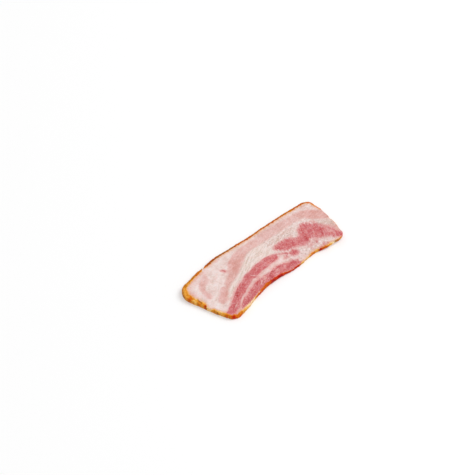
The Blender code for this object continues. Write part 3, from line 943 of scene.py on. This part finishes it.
class Bacon(Graph):
    """The slice's shader: layers of lean and fat, and the browned rim."""

    def __init__(self, material):
        super().__init__(material)
        self.place = self.field("place", "Vector")
        self.layers = self.field("layers", "Vector")
        self.cut_end = self.field("cut_end")
        self.fat_grain = self.turned(self.place, FAT_GRAIN)
        self.streaks = self.noise(self.fat_grain, STREAKS)
        self.clouds = self.spots(CLOUDS)
        self.fine = self.spots(FINE)
        feather = self.times(self.lean_noise(LEAN_FEATHERS), self.blend(self.cut_end, *FEATHER_DEPTHS))
        lean_edge = self.plus(self.field("lean"), feather, self.times(self.fine, 0.3))
        lean_edge = self.maths("DIVIDE", lean_edge, self.blend(self.cut_end, *LEAN_SOFTNESS))
        self.lean = self.step(lean_edge, *LEAN_EDGE)
        pale_edge = self.plus(self.field("pale"), self.times(self.streaks, 1.1), self.times(self.clouds, 0.5))
        self.pale = self.times(self.step(pale_edge, *PALE_EDGE), self.field("pale_strength"))
        ragged = self.spots(RAGGED_RIM)
        self.rim_edge = self.plus(self.field("rim"), self.times(ragged, 0.95))
        self.rim = self.step(self.rim_edge, *RIM_EDGE)

    def spots(self, pattern):
        """Noise along the strip's own directions."""
        return self.noise(self.place, pattern)

    def lean_noise(self, pattern):
        """Noise drawn out along the fibres of the lean, which run differently in each layer."""
        inner = self.noise(self.layers, pattern)
        outer = self.noise(self.turned(self.place, OUTER_GRAIN), pattern)
        cut_end = self.noise(self.turned(self.place, CUT_END_GRAIN), pattern)
        return self.blend(self.cut_end, self.blend(self.field("outer"), inner, outer), cut_end)

    def fat_colour(self):
        """White to pinkish fat, and cream fat with greyish fibres and specks, and painted shade that greys
        the fat near the cut end.
        """
        white = self.shaded(self.plus(self.clouds, self.times(self.fine, 0.3)), WHITE_SHADES)
        cream = self.shaded(self.plus(self.streaks, self.times(self.fine, 0.25)), CREAM_SHADES)
        fat = self.mix(self.step(self.field("cream"), *CREAM_EDGE), white, cream)
        drifts = self.times(self.step(self.noise(self.fat_grain, FAT_DRIFTS), -0.1, 1.2), 0.4)
        beside_lean = self.times(self.step(self.field("lean"), -2.8, 0.2), 0.8)
        fat = self.tint(fat, PINK_TINGE, self.plus(drifts, self.field("fat_pink"), beside_lean))
        # Greyish fibres, and painted shade that greys the fat near the cut end
        fibres = self.step(self.noise(self.fat_grain, FAT_FIBRES), -1.0, 0.6)
        grey_and_shade = self.maths("MINIMUM", self.times(self.field("fat_grey_and_shade"), fibres, 0.75), 0.8)
        fat = self.mix(grey_and_shade, fat, colour(*FIBRE_GREY_AND_SHADE))
        fat = self.tint(fat, BROWN_SPECK, self.spots(FAT_SPECKS), self.field("specks"))
        fat = self.mix(self.times(self.cut_end, 0.22), fat, colour(*CUT_END_FAT))
        mottles = self.times(self.spots(FAT_MOTTLES), self.cut_end)
        fat = self.tint(fat, DARK_MOTTLE, mottles)
        fat = self.tint(fat, PALE_MOTTLE, mottles)
        return self.tint(fat, RIM_STAIN, self.rim_edge)

    def pale_colour(self):
        """The pale pink band that runs beside the rind."""
        value = self.plus(self.clouds, self.times(self.streaks, 0.6), self.times(self.fine, 0.25))
        return self.shaded(value, PALE_SHADES)

    def lean_colour(self):
        """Pink to rose lean with fibres, deeper and paler spots and fine pale marbling."""
        clouds = self.times(self.spots(LEAN_CLOUDS), 0.3)
        fibres = self.times(self.lean_noise(LEAN_FIBRES), 0.7)
        tone = self.plus(self.times(self.field("lean_tone"), 0.7), clouds, fibres)
        lean = self.tint(self.shaded(tone, LEAN_SHADES), WARM_LEAN, self.spots(LEAN_WARMTH))
        veins = self.maths("ABSOLUTE", self.lean_noise(LEAN_VEINS))
        veined = self.step(self.spots(VEINED_PARTS), -0.6, 0.7)
        lean = self.tint(lean, PALE_VEIN, veins, veined)
        lean = self.tint(lean, DARK_THREAD, self.lean_noise(LEAN_THREADS))
        dots = self.spots(LEAN_DOTS)
        strength = self.blend(self.field("outer"), *DOT_STRENGTHS)
        lean = self.tint(lean, DARK_DOT, dots, strength)
        return self.tint(lean, PALE_DOT, dots, strength)

    def rim_colour(self):
        """The rind and the smoked crust: gold to orange, with brown and red blotches, painted highlights on
        its paler parts, and painted shade that browns the side face and underneath.
        """
        blotches = self.times(self.spots(BLOTCHES), 0.17)
        fringe = self.times(self.step(self.rim_edge, *RIM_FRINGE), -0.16)
        tone = self.plus(self.field("rim_tone"), blotches, self.times(self.fine, 0.06), fringe)
        # Painted highlights: pale peach spots on the paler crust
        highlight_spots = self.spots(CRUST_HIGHLIGHT_SPOTS)
        crust = self.tint(self.ramp(tone, RIM_SHADES), PAINTED_CRUST_HIGHLIGHT, highlight_spots, self.step(tone, 0.6, 0.3))
        # Smoke blotches and brown strokes, and the painted shade of the side face and underneath
        brown_share = self.times(self.step(self.spots(SMOKE), -0.1, 1.1), 0.62)
        brown_share = self.maths("MINIMUM", self.plus(brown_share, self.field("rim_brown_and_shade")), 0.85)
        brown = self.mix(self.step(tone, 0.55, 0.8), colour(*SMOKE_AND_SHADE_BROWN), colour(*SMOKE_AND_SHADE_RED))
        return self.mix(brown_share, crust, brown)

    def height(self):
        """The finest relief, in millimetres."""
        return self.plus(
            self.times(self.lean_noise(FINE_FIBRES), self.lean, FIBRE_BUMP),
            self.times(self.streaks, STREAK_BUMP),
            self.times(self.spots(PORES), PORE_BUMP),
            self.times(self.spots(FINE_KNOBS), self.rim, KNOB_BUMP),
        )

    def finish(self):
        meat = self.mix(self.pale, self.fat_colour(), self.pale_colour())
        meat = self.mix(self.lean, meat, self.lean_colour())
        grain = self.spots(GRAIN)
        meat = self.tint(self.tint(meat, DARK_GRAIN, grain), PALE_GRAIN, grain)
        self.plug(self.mix(self.rim, meat, self.rim_colour()), self.shader.inputs["Base Color"])
        bump = self.node("Bump", {"Strength": 1.0, "Distance": MM, "Height": self.height()})
        self.plug(bump.outputs["Normal"], self.shader.inputs["Normal"])
        wet = self.times(self.spots(WETNESS), WET_CHANGE)
        rough = self.plus(ROUGHNESS, wet, self.times(self.rim, CRUST_DULLNESS))
        self.plug(rough, self.shader.inputs["Roughness"])


def set_sockets(shader, values):
    for name, value in values.items():
        shader.inputs[name].default_value = value


def bacon_material():
    material = bpy.data.materials.new("smoked_bacon")
    bacon = Bacon(material)
    bacon.finish()
    set_sockets(bacon.shader, BACON_SOCKETS)
    return material


def make_slice():
    data = slice_mesh()
    data.materials.append(bacon_material())
    bacon = bpy.data.objects.new("smoked_bacon_slice", data)
    bpy.context.scene.collection.objects.link(bacon)
    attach(bacon, "root")
    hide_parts("bacon_slice")


def make_floor():
    """A wide white floor."""
    corners = [(x * FLOOR_HALF, y * FLOOR_HALF, 0) for x, y in ((-1, -1), (1, -1), (1, 1), (-1, 1))]
    data = bpy.data.meshes.new("floor")
    data.from_pydata(corners, [], [(0, 1, 2, 3)])
    material = bpy.data.materials.new("white_floor")
    material.use_nodes = True
    set_sockets(material.node_tree.nodes["Principled BSDF"], FLOOR_SOCKETS)
    data.materials.append(material)
    floor = bpy.data.objects.new("floor", data)
    bpy.context.scene.collection.objects.link(floor)


def view_axes():
    """The camera's right, up and back directions."""
    azimuth = math.radians(AZIMUTH)
    elevation = math.radians(ELEVATION)
    level = math.cos(elevation)
    back = Vector((math.sin(azimuth) * level, -math.cos(azimuth) * level, math.sin(elevation)))
    right = Vector((math.cos(azimuth), math.sin(azimuth), 0))
    return right, back.cross(right), back


def make_camera():
    right, up, back = view_axes()
    pixel = FRAME_WIDTH / PICTURE
    aim = right * (PICTURE / 2 - ORIGIN_PIXEL[0]) * pixel + up * (ORIGIN_PIXEL[1] - PICTURE / 2) * pixel
    data = bpy.data.cameras.new("camera")
    data.lens = LENS
    camera = bpy.data.objects.new("camera", data)
    camera.location = aim + back * (FRAME_WIDTH * LENS / SENSOR)
    camera.rotation_euler = back.to_track_quat("Z", "Y").to_euler()
    bpy.context.scene.collection.objects.link(camera)
    bpy.context.scene.camera = camera


def area_light(name, direction, distance, size, power):
    """A soft square light that looks at the slice from a direction."""
    data = bpy.data.lights.new(name, "AREA")
    data.size = size
    data.energy = power
    light = bpy.data.objects.new(name, data)
    towards = Vector(direction).normalized()
    light.location = towards * distance
    light.rotation_euler = towards.to_track_quat("Z", "Y").to_euler()
    bpy.context.scene.collection.objects.link(light)


def make_studio():
    right, _, back = view_axes()
    away = -Vector((back.x, back.y, 0)).normalized()
    for name, ((rightward, onward, upward), *light) in LIGHTS.items():
        area_light(name, right * rightward + away * onward + Vector((0, 0, upward)), *light)
    world = bpy.data.worlds.new("studio")
    world.use_nodes = True
    background = world.node_tree.nodes["Background"].inputs
    background["Color"].default_value = (1, 1, 1, 1)
    background["Strength"].default_value = WORLD_LIGHT
    bpy.context.scene.world = world
    bpy.context.scene.view_settings.view_transform = "Standard"


make_slice()
make_floor()
make_camera()
make_studio()
